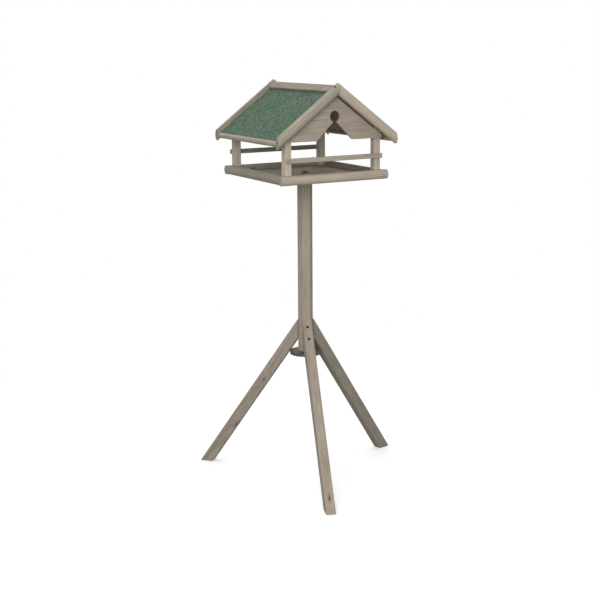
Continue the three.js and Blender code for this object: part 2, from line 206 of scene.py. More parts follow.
@dataclass(frozen=True)
class GlazedTimber:
    """Softwood under a thin grey-brown glaze.

    Sawn, planed and dipped in a wood glaze: it evens the colour but lets the growth rings and the
    fibre show, lies darker on end grain, which drinks it, and rubs lighter on eased edges. The
    rings are cut from a trunk: the grain attribute gives a point's place in it in millimetres,
    with the fibres along X and the pith on the X axis. A range of four gives the two values that
    are read and what they are turned to, which in a range of two are zero and one.
    """

    name: str
    early: str = "a69d8e"
    late: str = "80755f"
    warm: str = "a9968b"
    cool: str = "979782"
    knot: str = "443120"
    ring_mm: float = 5.5  # slow pine has rings of 2 to 4 mm, drawn wider so that they show
    ring_rise: tuple[float, ...] = (0.2, 0.82, 0.0, 1.0)
    ring_fall: tuple[float, ...] = (0.86, 1.0, 1.0, 0.0)
    year: Streak = Streak(400, 11, 1)  # good and poor years make strong and faint rings
    year_weight: tuple[float, ...] = (0.35, 0.65, 0.3, 1.15)
    fibre: Streak = Streak(60, 3.2, 3)  # real fibres are finer, drawn wider so that they show
    fibre_level: tuple[float, ...] = (0.25, 0.75, 0.62, 1.06)
    patch: Streak = Streak(75, 30, 2)
    patch_drift: tuple[float, ...] = (0.3, 0.7)
    wander: Streak = Streak(260, 65, 2, 0.5)
    wander_mm: float = 3.0
    wander_gain: float = 4.0  # the noise seldom strays more than a quarter from its middle
    knot_mm: float = 3.3  # the radius of a knot's core
    knot_width_share: float = 0.4  # a knot is cut aslant, so it is longer along the board
    knot_pull: tuple[float, ...] = (0.0, 8.0, 1.0)  # from, to, in radii of the core, and how much
    knot_core: tuple[float, ...] = (0.5, 1.4, 1.0)
    knot_halo: tuple[float, ...] = (0.8, 3.2, 0.42)
    pull_share: float = 1.4
    tint_share: float = 0.43
    late_share: float = 0.66
    hue_share: float = 0.25
    tone_share: float = 0.1
    patch_share: float = 0.28
    eased_share: float = 0.05
    end_share: float = -0.14
    relief_mm: float = 0.15
    relief_strength: float = 0.7
    late_relief_share: float = 0.6
    roughness: tuple[float, float] = (0.66, 0.84)  # between the fibres and on them
    ior: float = 1.48

    def material(self) -> bpy.types.Material:
        """Builds the finish.

        Returns:
            The material.
        """
        material, tree = new_material(self.name)
        place = add_node(tree, "Attribute", attribute_name="grain").outputs["Vector"]
        bent = self._bent(tree, place)
        pull, dark = self._knots(tree, place)
        late = self._late_wood(tree, bent, pull)
        fibre = self.fibre.drawn(tree, place)
        colour = self._colour(tree, late, fibre, self.patch.drawn(tree, place), dark)
        height = add_node(tree, "Math", (late, self.late_relief_share, fibre), operation="MULTIPLY_ADD")
        relief = {"Strength": self.relief_strength, "Distance": self.relief_mm * MM, "Height": height}
        bump = add_node(tree, "Bump", relief)
        rough = add_node(tree, "MapRange", (fibre, 0.0, 1.0, *self.roughness))
        shader = add_node(
            tree, "BsdfPrincipled", {"Base Color": colour, "Roughness": rough, "Normal": bump}
        )
        shader.inputs["IOR"].default_value = self.ior
        add_node(tree, "OutputMaterial", (shader,))
        return material

    def _bent(self, tree: Tree, place: Socket) -> Node:
        """Bends the rings a little, as a trunk grows.

        Args:
            tree: the material's nodes.
            place: the place in the timber.

        Returns:
            The bent place.
        """
        cloud = self.wander.drawn(tree, place).outputs["Color"]
        centred = add_node(tree, "VectorMath", (cloud, (0.5, 0.5, 0.5)), operation="SUBTRACT")
        push = Vector(ACROSS) * self.wander_gain * self.wander_mm
        return add_node(tree, "VectorMath", (centred, push, place), operation="MULTIPLY_ADD")

    def _knots(self, tree: Tree, place: Socket) -> tuple[Node, Node]:
        """The two knots that a board may have, and the way that the rings flow round them.

        A knot is a branch, so it runs straight out from the pith.

        Args:
            tree: the material's nodes.
            place: the place in the timber.

        Returns:
            The pull on the rings and the darkness of the knots, both from zero to one.
        """
        distances = []
        for name in ("knot_a", "knot_b"):
            centre = add_node(tree, "Attribute", attribute_name=name).outputs["Vector"]
            apart = add_node(tree, "VectorMath", (place, centre), operation="SUBTRACT")
            flat = add_node(tree, "VectorMath", (centre, ACROSS), operation="MULTIPLY")
            branch = add_node(tree, "VectorMath", (flat,), operation="NORMALIZE")
            outward = add_node(tree, "VectorMath", (apart, branch), operation="DOT_PRODUCT")
            along = add_node(tree, "VectorMath", {0: branch, "Scale": outward}, operation="SCALE")
            beside = add_node(tree, "VectorMath", (apart, along), operation="SUBTRACT")
            shares = (self.knot_width_share, 1.0, 1.0)
            scaled = add_node(tree, "VectorMath", (beside, shares), operation="MULTIPLY")
            distances.append(add_node(tree, "VectorMath", (scaled,), operation="LENGTH"))
        nearest = add_node(tree, "Math", distances, operation="MINIMUM")
        pull, core, halo = (
            add_node(
                tree,
                "MapRange",
                (nearest, near * self.knot_mm, far * self.knot_mm, most, 0.0),
                interpolation_type="SMOOTHSTEP",
            )
            for near, far, most in (self.knot_pull, self.knot_core, self.knot_halo)
        )
        return pull, add_node(tree, "Math", (core, halo), operation="MAXIMUM")

    def _late_wood(self, tree: Tree, bent: Node, pull: Node) -> Node:
        """The dark line that closes each growth ring.

        Args:
            tree: the material's nodes.
            bent: the place in the timber.
            pull: the pull of the knots, from zero to one.

        Returns:
            A factor from zero in the early wood to one in the late wood.
        """
        flat = add_node(tree, "VectorMath", (bent, ACROSS), operation="MULTIPLY")
        radius = add_node(tree, "VectorMath", (flat,), operation="LENGTH")
        reach = self.pull_share * self.knot_mm
        pulled = add_node(tree, "Math", (pull, reach, radius), operation="MULTIPLY_ADD")
        rings = add_node(tree, "Math", (pulled, self.ring_mm), operation="DIVIDE")
        part = add_node(tree, "Math", (rings,), operation="FRACT")
        rise, fall = (
            add_node(tree, "MapRange", (part, *share), interpolation_type="SMOOTHSTEP")
            for share in (self.ring_rise, self.ring_fall)
        )
        ring = add_node(tree, "Math", (rise, fall), operation="MULTIPLY")
        weight = add_node(tree, "MapRange", (self.year.drawn(tree, bent), *self.year_weight))
        return add_node(tree, "Math", (ring, weight), operation="MULTIPLY")

    def _colour(self, tree: Tree, late: Node, fibre: Node, patch: Node, dark: Node) -> Node:
        """The glazed wood's colour.

        Args:
            tree: the material's nodes.
            late: the late wood, from zero to one.
            fibre: the fine streaks.
            patch: the broad streaks in which the glaze drifts from pinkish to greenish.
            dark: the darkness of the knots, from zero to one.

        Returns:
            The colour.
        """
        board = add_node(tree, "Attribute", attribute_name="board").outputs["Vector"]
        tone, hue, strength = add_node(tree, "SeparateXYZ", (board,)).outputs
        drift = add_node(tree, "Math", (hue, self.hue_share, patch), operation="MULTIPLY_ADD")
        warmth = add_node(tree, "MapRange", (drift, *self.patch_drift))
        ring = add_node(tree, "Math", (late, self.late_share), operation="MULTIPLY")
        tint, wood = (
            add_node(
                tree,
                "Mix",
                {SHARE: share, FIRST: linear(first), SECOND: linear(second)},
                data_type="RGBA",
            )
            for share, first, second in ((warmth, self.cool, self.warm), (ring, self.early, self.late))
        )
        glaze = {SHARE: self.tint_share, FIRST: wood, SECOND: tint}
        glazed = add_node(tree, "Mix", glaze, data_type="RGBA")
        eased, ends = (
            add_node(tree, "Attribute", attribute_name=name).outputs["Fac"]
            for name in ("eased", "end_grain")
        )
        level = add_node(tree, "MapRange", (fibre, *self.fibre_level))
        # the board's tone, added to the level below, also carries the painted light and painted shade set
        # on some boards
        for value, share in (
            (tone, self.tone_share),
            (patch, self.patch_share),
            (eased, self.eased_share),
            (ends, self.end_share),
        ):
            level = add_node(tree, "Math", (value, share, level), operation="MULTIPLY_ADD")
        lit = add_node(tree, "HueSaturation", {"Color": glazed, "Value": level})
        knotted = add_node(tree, "Math", (dark, strength), operation="MULTIPLY")
        inputs = {SHARE: knotted, FIRST: lit, SECOND: linear(self.knot)}
        return add_node(tree, "Mix", inputs, data_type="RGBA")


@dataclass(frozen=True)
class Drift:
    """A soft change from place to place.

    Attributes:
        size_mm: size of a patch.
        octaves: how many times finer noise is added.
        least: the level in the lowest patches.
        most: the level in the highest ones.
    """

    size_mm: float
    octaves: float
    least: float
    most: float


@dataclass(frozen=True)
class MineralFelt:
    """Green mineral roofing felt.

    Bitumen felt with crushed slate rolled into it: matt, gritty, with dark bitumen showing between
    granules of several greens, and drifts where more or fewer of them stuck.
    """

    name: str = "mineral_roofing_felt"
    greens: tuple[str, ...] = ("3c5443", "5c7761", "69836d", "768f7b", "546f5a")
    bitumen: str = "222c24"
    granule_mm: float = 3.5  # slate granules are 1 to 2 mm, drawn coarser so that they show
    gap: tuple[float, ...] = (0.02, 0.13)  # where the bitumen ends, from the edge of a granule
    lightness: Drift = Drift(14, 4, 0.8, 1.16)
    strength: Drift = Drift(90, 2, 0.85, 1.3)
    drift_reach: tuple[float, ...] = (0.3, 0.7)
    relief_mm: float = 0.5
    relief_strength: float = 0.6
    roughness: float = 0.92

    def material(self) -> bpy.types.Material:
        """Builds the finish.

        Returns:
            The material.
        """
        material, tree = new_material(self.name)
        place = add_node(tree, "TexCoord").outputs["Object"]
        granules = {"Vector": place, "Scale": 1 / (self.granule_mm * MM)}
        grit, edge = (
            add_node(tree, "TexVoronoi", granules, feature=feature)
            for feature in ("F1", "DISTANCE_TO_EDGE")
        )
        pick = add_node(tree, "SeparateColor", (grit.outputs["Color"],))
        ramp = add_node(tree, "ValToRGB", (pick,))
        ramp.color_ramp.interpolation = "CONSTANT"
        while len(ramp.color_ramp.elements) < len(self.greens):
            ramp.color_ramp.elements.new(0.5)
        for i, code in enumerate(self.greens):
            ramp.color_ramp.elements[i].position = i / len(self.greens)
            ramp.color_ramp.elements[i].color = linear(code)
        levels = []
        for drift in (self.lightness, self.strength):
            inputs = {"Vector": place, "Scale": 1 / (drift.size_mm * MM), "Detail": drift.octaves}
            cloud = add_node(tree, "TexNoise", inputs)
            reach = (cloud, *self.drift_reach, drift.least, drift.most)
            levels.append(add_node(tree, "MapRange", reach))
        drifted = add_node(
            tree, "HueSaturation", {"Color": ramp, "Value": levels[0], "Saturation": levels[1]}
        )
        gap = add_node(tree, "MapRange", (edge, *self.gap), interpolation_type="SMOOTHSTEP")
        inputs = {SHARE: gap, FIRST: linear(self.bitumen), SECOND: drifted}
        colour = add_node(tree, "Mix", inputs, data_type="RGBA")
        relief = {"Strength": self.relief_strength, "Distance": self.relief_mm * MM, "Height": gap}
        bump = add_node(tree, "Bump", relief)
        shader = add_node(tree, "BsdfPrincipled", {"Base Color": colour, "Normal": bump})
        shader.inputs["Roughness"].default_value = self.roughness
        add_node(tree, "OutputMaterial", (shader,))
        return material


@dataclass(frozen=True)
class DarkZinc:
    """Zinc-plated steel gone dull and brown outdoors, with a fine blotched bloom."""

    name: str = "weathered_zinc_plate"
    bright: str = "453829"
    dull: str = "241c13"
    blotch_mm: float = 1.6
    octaves: float = 3.0
    bloom_edge: tuple[float, ...] = (0.35, 0.65)
    roughness: tuple[float, float] = (0.45, 0.75)  # least and most in the bloom
    metallic: float = 0.4

    def material(self) -> bpy.types.Material:
        """Builds the finish.

        Returns:
            The material.
        """
        material, tree = new_material(self.name)
        place = add_node(tree, "TexCoord").outputs["Object"]
        blotches = {"Vector": place, "Scale": 1 / (self.blotch_mm * MM), "Detail": self.octaves}
        bloom = add_node(tree, "TexNoise", blotches)
        share = add_node(tree, "MapRange", (bloom, *self.bloom_edge))
        inputs = {SHARE: share, FIRST: linear(self.bright), SECOND: linear(self.dull)}
        colour = add_node(tree, "Mix", inputs, data_type="RGBA")
        rough = add_node(tree, "MapRange", (bloom, 0.0, 1.0, *self.roughness))
        shader = add_node(tree, "BsdfPrincipled", {"Base Color": colour, "Roughness": rough})
        shader.inputs["Metallic"].default_value = self.metallic
        add_node(tree, "OutputMaterial", (shader,))
        return material


# Shapes, in millimetres


def block(size: Vector, lowest: Vector) -> Shape:
    """Makes a box.

    Args:
        size: its length along each axis.
        lowest: its lowest corner.

    Returns:
        The shape.
    """
    shape = bmesh.new()
    bmesh.ops.create_cube(shape, size=1.0)
    bmesh.ops.scale(shape, vec=size, verts=shape.verts)
    bmesh.ops.translate(shape, vec=lowest + size / 2, verts=shape.verts)
    return shape


def prism(shape: Shape, diameter: float, depth: float, sides: int, place: Matrix) -> None:
    """Adds a bar with many sides, or a disc.

    Args:
        shape: the shape to add to.
        diameter: across its corners.
        depth: its length along its axis.
        sides: how many sides it has.
        place: what moves it from the middle, where it stands along Z.
    """
    bmesh.ops.create_cone(
        shape,
        cap_ends=True,
        segments=sides,
        radius1=diameter / 2,
        radius2=diameter / 2,
        depth=depth,
        matrix=place,
    )


def extrude_outline(shape: Shape, vector: Vector) -> None:
    """Fills a closed outline and extrudes it.

    Args:
        shape: the outline's edges.
        vector: the way and the distance to extrude.
    """
    face = bmesh.ops.edgeloop_fill(shape, edges=shape.edges)["faces"]
    made = bmesh.ops.extrude_face_region(shape, geom=face)["geom"]
    moved = [part for part in made if isinstance(part, bmesh.types.BMVert)]
    bmesh.ops.translate(shape, vec=vector, verts=moved)
    bmesh.ops.recalc_face_normals(shape, faces=shape.faces)


def spin_from(
    shape: Shape, start: Vector, centre: Vector, axis: Vector, angle: float, steps: int
) -> tuple[bmesh.types.BMVert, bmesh.types.BMVert]:
    """Draws an arc of edges by spinning one vertex.

    Args:
        shape: the shape to draw in.
        start: where the arc starts.
        centre: the arc's centre.
        axis: the axis that it turns about.
        angle: how far it turns, in radians.
        steps: its edges.

    Returns:
        The arc's first and last vertices.
    """
    first = shape.verts.new(start)
    made = bmesh.ops.spin(
        shape, geom=[first], cent=centre, axis=axis, angle=angle, steps=steps, use_merge=False
    )
    last = next(part for part in made["geom_last"] if isinstance(part, bmesh.types.BMVert))
    return first, last


def nosed_board(length: float, height: float, thickness: float, nose: float) -> Shape:
    """Makes a board with a rounded outer edge.

    It runs along X from zero, stands along Y from zero, and its nose points along Z.

    Args:
        length: along the fibres.
        height: across them.
        thickness: from the flat back to the tip of the nose.
        nose: the depth of the rounded part.

    Returns:
        The shape.
    """
    shape = bmesh.new()
    flat = thickness - nose
    half = height / 2
    foot, top = spin_from(shape, Z * flat, Vector((0, half, flat)), -X, math.pi, NOSE_FACETS)
    for vertex in shape.verts:
        vertex.co.z = flat + (vertex.co.z - flat) * nose / half
    back_foot = shape.verts.new((0, 0, 0))
    back_top = shape.verts.new((0, height, 0))
    for pair in ((top, back_top), (back_top, back_foot), (back_foot, foot)):
        shape.edges.new(pair)
    extrude_outline(shape, X * length)
    return shape


def turned(profile: list[tuple[float, float]], steps: int, closed: bool = False) -> Shape:
    """Turns a profile about Z.

    Args:
        profile: radius and height of each point, from the axis back to the axis or all round.
        steps: facets round the axis.
        closed: whether the last point joins the first.

    Returns:
        The shape.
    """
    shape = bmesh.new()
    points = [shape.verts.new((radius, 0, height)) for radius, height in profile]
    followers = points[1:] + points[:1] if closed else points[1:]
    edges = [shape.edges.new(pair) for pair in zip(points, followers)]
    bmesh.ops.spin(
        shape, geom=points + edges, cent=(0, 0, 0), axis=Z, angle=FULL_TURN, steps=steps, use_merge=True
    )
    bmesh.ops.remove_doubles(shape, verts=shape.verts, dist=MERGE)
    bmesh.ops.recalc_face_normals(shape, faces=shape.faces)
    return shape


def saw(shape: Shape, place: Matrix, point: Vector, away: Vector) -> None:
    """Cuts off what lies beyond a plane and closes the cut.

    Args:
        shape: the shape, in its own directions.
        place: what takes the shape to the table.
        point: a point of the plane, on the table.
        away: the plane's direction towards the waste, on the table.
    """
    back = place.inverted()
    cut = bmesh.ops.bisect_plane(
        shape,
        geom=shape.verts[:] + shape.edges[:] + shape.faces[:],
        dist=MERGE,
        plane_co=back @ point,
        plane_no=back.to_3x3() @ away,
        clear_outer=True,
    )["geom_cut"]
    rim = [part for part in cut if isinstance(part, bmesh.types.BMEdge)]
    bmesh.ops.holes_fill(shape, edges=rim, sides=0)
    bmesh.ops.recalc_face_normals(shape, faces=shape.faces)


def round_edges(shape: Shape, edges: list[bmesh.types.BMEdge], width: float) -> list[bmesh.types.BMFace]:
    """Rounds some edges.

    Args:
        shape: the shape.
        edges: its edges to round.
        width: how far the rounding reaches into each face.

    Returns:
        The faces that this makes.
    """
    return bmesh.ops.bevel(
        shape,
        geom=edges,
        offset=width,
        offset_type="OFFSET",
        affect="EDGES",
        segments=EASE_FACETS,
        profile=0.5,
        material=-1,
        clamp_overlap=True,
    )["faces"]


def ease(shape: Shape, width: float) -> None:
    """Rounds the sharp edges and marks the faces that this makes.

    Args:
        shape: the shape.
        width: how far the rounding reaches into each face.
    """
    eased = shape.faces.layers.float.new("eased")
    sharp = [edge for edge in shape.edges if edge.calc_face_angle(0) > SHARP]
    for face in round_edges(shape, sharp, width):
        face[eased] = 1.0


def to_mesh(shape: Shape, name: str) -> bpy.types.Mesh:
    """Turns a shape to a mesh.

    Args:
        shape: the shape, which is kept.
        name: the mesh's name.

    Returns:
        The mesh.
    """
    mesh = bpy.data.meshes.new(name)
    shape.to_mesh(mesh)
    return mesh


def add_object(name: str, data: bpy.types.ID) -> bpy.types.Object:
    """Makes an object and puts it into the scene.

    Args:
        name: its name.
        data: its mesh, lamp or camera.

    Returns:
        The object.
    """
    made = bpy.data.objects.new(name, data)
    bpy.context.scene.collection.objects.link(made)
    return made


def carve(shape: Shape, cutters: list[Shape]) -> None:
    """Cuts other shapes out of a shape.

    Args:
        shape: the shape that is cut.
        cutters: what is cut out, used up by this.
    """
    holders = [add_object("carving", to_mesh(part, "carving")) for part in (shape, *cutters)]
    for cutter, holder in zip(cutters, holders[1:]):
        cut = holders[0].modifiers.new("cut", "BOOLEAN")
        cut.operation = "DIFFERENCE"
        cut.solver = "EXACT"
        cut.object = holder
        cutter.free()
    graph = bpy.context.evaluated_depsgraph_get()
    result = bpy.data.meshes.new_from_object(
        holders[0].evaluated_get(graph), preserve_all_data_layers=True, depsgraph=graph
    )
    shape.clear()
    shape.from_mesh(result)
    bpy.data.meshes.remove(result)
    for holder in holders:
        bpy.data.meshes.remove(holder.data)


def points_of(mesh: bpy.types.Mesh) -> np.ndarray:
    """Reads the places of a mesh's vertices.

    Args:
        mesh: the mesh.

    Returns:
        One place in each row.
    """
    points = np.empty(3 * len(mesh.vertices))
    mesh.vertices.foreach_get("co", points)
    return points.reshape(-1, 3)


def to_place(along: Vector, across: Vector, origin: Vector) -> Matrix:
    """What lays a shape's X along one direction, its Y along another and its Z square to both.

    Args:
        along: the direction of X.
        across: the direction of Y.
        origin: where zero goes.

    Returns:
        The placement.
    """
    turn = Matrix((along, across, along.cross(across))).transposed()
    return Matrix.Translation(origin) @ turn.to_4x4()


def pointed(origin: Vector, up: Vector) -> Matrix:
    """What takes zero to a place and Z to a direction."""
    return Matrix.Translation(origin) @ up.to_track_quat("Z", "Y").to_matrix().to_4x4()


# Pieces


@dataclass(frozen=True)
class Board:
    """One board's place in the trunk, its tone and hue, and its knots.

    Attributes:
        tone: darker below zero and lighter above it: the board's own tone, and on some boards painted
            light or painted shade too.
        hue: greenish below zero and pinkish above it.
        pith: where the trunk's middle lies, across the board and square to it, or none for chance.
        knots: up to two places of knots: along the board, across it and square to it.
        knot_strength: how dark the knots are, up to one.
    """

    tone: float
    hue: float
    pith: tuple[float, float] | None = None
    knots: tuple[tuple[float, float, float], ...] = ()
    knot_strength: float = 1.0


BOARDS = {
    "pole": Board(0.2, 0.3, (6, -38)),
    "base_disc": Board(-6.4, -0.5),
    "leg_front": Board(-0.4, 0.7, (-74, -2), ((614, 0, 0),), 0.95),
    "leg_right": Board(-1.8, 0.1, (-82, 12)),
    "leg_left": Board(-1.2, 0.7, (-26, -66), ((259, -23, -16), (464, -33, -16)), 0.7),
    # painted shade: the tray floor is made darker to offset light from the rear lamp
    "tray_floor": Board(-0.7, 0.8),
    "tray_board_front": Board(2.1, -0.1, (-52, -14)),
    "tray_board_rear": Board(-0.4, 0.0, (60, -40), ((96, 12, 0),), 0.8),
    # the left tray board is darker, partly as painted shade that offsets light from the rear lamp
    "tray_board_left": Board(-1.7, 0.2, (-46, -12)),
    "tray_board_right": Board(-3.0, 0.4),
    # painted light: the posts are made lighter to offset the shade that the roof casts on them
    "post_front_left": Board(4.6, 0.2),
    "post_front_right": Board(2.7, 0.2),
    "post_rear_left": Board(2.1, 0.2),
    "post_rear_right": Board(2.8, -1.0),
    "rail_front": Board(1.0, 0.0, (-40, -14)),
    # painted shade: the rear rail is made darker to stand for the shade on its inner face
    "rail_rear": Board(-3.1, -0.8),
    "gable": Board(-0.3, 0.1, (-90, -12)),
    # painted shade: the panels are made darker to stand for the shade on their undersides under the roof
    "roof_panel": Board(-2.9, 0.5, (90, -160)),
    "ridge_board": Board(-2.5, 0.0, (-30, -12)),
    "eaves_strip": Board(0.4, -0.1, (-40, -10)),
    "bargeboard_front_left": Board(-0.8, -0.1, (-44, -10)),
    "bargeboard_front_right": Board(2.6, -0.1, (-44, -10)),
    "bargeboard_rear_left": Board(-2.0, -0.1, (-44, -10)),
    "bargeboard_rear_right": Board(0.0, -0.1, (-44, -10)),
}


@dataclass
class Bench:
    """Where finished shapes become pieces of the table.

    Attributes:
        materials: the finish of each slot.
        dusty: the finish of the zinc that lies in the tray.
        axis: the pole's axis on the ground, in millimetres.
        tray_foot: the height of the tray's underside.
        trunk: the length of trunk that the boards are cut from.
        pith_beside: how far a board may lie beside the pith.
        pith_behind: how far it may lie in front of it.
        tone_spread: how far boards differ in tone by chance.
        hue_spread: how far they differ in hue.
        end_lean: how far a face leans along the fibres where it shows end grain.
    """

    materials: dict[Slot, bpy.types.Material]
    dusty: bpy.types.Material
    axis: Vector
    tray_foot: float
    trunk: float = 4000
    pith_beside: tuple[float, float] = (45, 80)
    pith_behind: tuple[float, float] = (8, 30)
    tone_spread: float = 0.2
    hue_spread: float = 0.3
    end_lean: float = 0.7
    worst: float = 0.0
    count: int = 0

    @property
    def tray(self) -> Matrix:
        """The placement of what is measured from the middle of the tray's underside."""
        return Matrix.Translation(self.axis + Z * self.tray_foot)

    def timber(self, shape: Shape, node: str, place: Matrix, slot: Slot) -> None:
        """Makes a wooden piece: marks its grain, knots and ends, and places it.

        Args:
            shape: the shape, with the fibres along X and its face along Y.
            node: the node that the piece stands for.
            place: what takes the shape to the table.
            slot: its finish.
        """
        board = next(board for name, board in BOARDS.items() if node.startswith(name))
        rng = random.Random(node)
        pith = board.pith or (
            rng.choice((-1, 1)) * rng.uniform(*self.pith_beside),
            -rng.uniform(*self.pith_behind),
        )
        shift = Vector((rng.uniform(0, self.trunk), -pith[0], -pith[1]))
        # a board's tone holds its own tone and, on some boards, painted light or painted shade
        tone = board.tone + rng.uniform(-self.tone_spread, self.tone_spread)
        hue = board.hue + rng.uniform(-self.hue_spread, self.hue_spread)
        knots = [Vector(knot) + shift for knot in board.knots]
        knots += [Vector((-self.trunk, 1, 1))] * (2 - len(knots))
        vectors = shape.verts.layers.float_vector
        grain, finish = vectors.new("grain"), vectors.new("board")
        knot_a, knot_b = vectors.new("knot_a"), vectors.new("knot_b")
        for vertex in shape.verts:
            vertex[grain] = vertex.co + shift
            vertex[finish] = Vector((tone, hue, board.knot_strength))
            vertex[knot_a], vertex[knot_b] = knots
        ends = shape.faces.layers.float.new("end_grain")
        shape.normal_update()
        for face in shape.faces:
            face[ends] = float(abs(face.normal.x) > self.end_lean)
        self.piece(shape, node, place, slot)

    def piece(self, shape: Shape, node: str, place: Matrix, slot: Slot) -> None:
        """Places a shape, dresses it and lets it stand for its node.

        Args:
            shape: the shape, used up by this.
            node: the node that the piece stands for.
            place: what takes the shape to the table.
            slot: its finish.
        """
        shape.transform(Matrix.Scale(MM, 4) @ place)
        if place.determinant() < 0:
            bmesh.ops.reverse_faces(shape, faces=shape.faces)
        if not all(edge.is_manifold for edge in shape.edges):
            log.warning("%s is not closed", node)
        name = node + "_dressed"
        mesh = to_mesh(shape, name)
        shape.free()
        mesh.shade_smooth()
        mesh.set_sharp_from_angle(angle=SMOOTH)
        in_tray = node in ("tray_screw", "tray_washer")
        mesh.materials.append(self.dusty if in_tray else self.materials[slot])
        piece = add_object(name, mesh)
        weighted = piece.modifiers.new("flat faces stay flat", "WEIGHTED_NORMAL")
        weighted.keep_sharp = True
        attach(piece, "root")
        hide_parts(node)
        self._measure(mesh, node)

    def _measure(self, mesh: bpy.types.Mesh, node: str) -> None:
        """Compares a piece's box with its node's and reports it.

        Args:
            mesh: the piece's mesh.
            node: the node that it stands for.
        """
        points = points_of(mesh)
        low, high = (np.array(corner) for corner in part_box(node))
        off = max(abs(points.min(0) - low).max(), abs(points.max(0) - high).max()) / MM
        self.worst = max(self.worst, off)
        self.count += 1
        log.info("%s: %d faces, box within %.2f mm", node, len(mesh.polygons), off)


# Fasteners


@dataclass(frozen=True)
class Fastener:
    """A pin or screw: sizes of its head, its shank and its point.

    Attributes:
        head: the head's diameter.
        head_depth: the head's height.
        shank: the shank's diameter.
        point: the point's length.
        flat: whether the head is flat underneath, or else countersunk.
        drive: what turns it.
        steps: facets round its axis.
        rim: the height of a countersunk head's rim, and how far every rim is softened.
        hexagon_ease: how far the top of a hexagon head is rounded.
        cross_shares: half the recess's length and width, as shares of the head's diameter, and its
            depth, as a share of the head's height.
        cross_foot_shares: how much of its length and width is left at its foot.
    """

    head: float
    head_depth: float
    shank: float
    point: float
    flat: bool = False
    drive: Drive = Drive.CROSS
    steps: int = 24
    rim: float = 0.4
    hexagon_ease: float = 0.7
    cross_shares: tuple[float, float, float] = (0.341, 0.075, 0.8)
    cross_foot_shares: tuple[float, float, float] = (0.4, 0.7, 1.0)

    def profile(self, length: float, gap: float, above: float) -> list[tuple[float, float]]:
        """Its outline, or that of the hole it sits in.

        Args:
            length: from the top of the head to the point.
            gap: how far the outline stands off the fastener.
            above: how far it runs on above the head.

        Returns:
            Radius and height of each point, from the axis back to the axis.
        """
        head = self.head / 2 + gap
        shank = self.shank / 2 + gap
        under = -self.head_depth - gap if self.flat else -self.rim - gap
        soft = 0 if above else self.rim
        return [
            (0, -length - gap),
            (shank, self.point - length - gap),
            (shank, -self.head_depth - gap),
            (head, under),
            (head, above - soft),
            (head - soft, above),
            (0, above),
        ]

    def shape(self, length: float) -> Shape:
        """The fastener, pointing down Z with the top of its head at zero.

        Args:
            length: from the top of the head to the point.

        Returns:
            The shape.
        """
        if self.drive is Drive.HEXAGON:
            return self._hexagon(length)
        body = turned(self.profile(length, 0, 0), self.steps)
        if self.drive is Drive.CROSS:
            carve(body, [self._blade(0), self._blade(math.pi / 2)])
        return body

    def _blade(self, turn: float) -> Shape:
        """One arm of the cross recess.

        Args:
            turn: its angle about the axis.

        Returns:
            The shape that is cut out.
        """
        length, width, depth = self.cross_shares
        reach = Vector((length * self.head, width * self.head, depth * self.head_depth))
        blade = block(2 * reach, -reach)
        foot = [vertex for vertex in blade.verts if vertex.co.z < 0]
        bmesh.ops.scale(blade, vec=self.cross_foot_shares, verts=foot)
        blade.transform(Matrix.Rotation(turn, 4, "Z"))
        return blade

    def _hexagon(self, length: float) -> Shape:
        """A coach screw: a hexagon head with a turned-off top, on a plain shank.

        Args:
            length: from the top of the head to the point.

        Returns:
            The shape.
        """
        shank = self.shank / 2
        under = -self.head_depth
        shape = turned(
            [(0, -length), (shank, self.point - length), (shank, under), (0, under)], self.steps
        )
        middle = Matrix.Translation(Z * under / 2)
        prism(shape, self.head, self.head_depth, HEXAGON_SIDES, middle)
        rims = [edge for edge in shape.edges if all(abs(end.co.z) < MERGE for end in edge.verts)]
        round_edges(shape, rims, self.hexagon_ease)
        return shape


POST_SCREW = Fastener(head=8, head_depth=3.5, shank=4, point=5)
PIN = Fastener(head=3, head_depth=1, shank=1.8, point=3, flat=True, drive=Drive.NONE)
FASTENERS = {
    "leg_screw": Fastener(head=9, head_depth=3.5, shank=5, point=6),
    "tray_screw": Fastener(head=13, head_depth=4, shank=7, point=9, drive=Drive.HEXAGON, flat=True),
    "disc_screw": Fastener(head=10, head_depth=4, shank=5.5, point=7),
    "ridge_screw": Fastener(head=7.5, head_depth=3, shank=3.5, point=4),
    "post_screw": POST_SCREW,
    "mitre_screw": POST_SCREW,
    "rail_pin": PIN,
    "gable_pin": PIN,
}


def kind_of(node: str) -> Fastener | None:
    """The kind of fastener that a node holds, or none for another piece."""
    return next((kind for name, kind in FASTENERS.items() if node.startswith(name)), None)


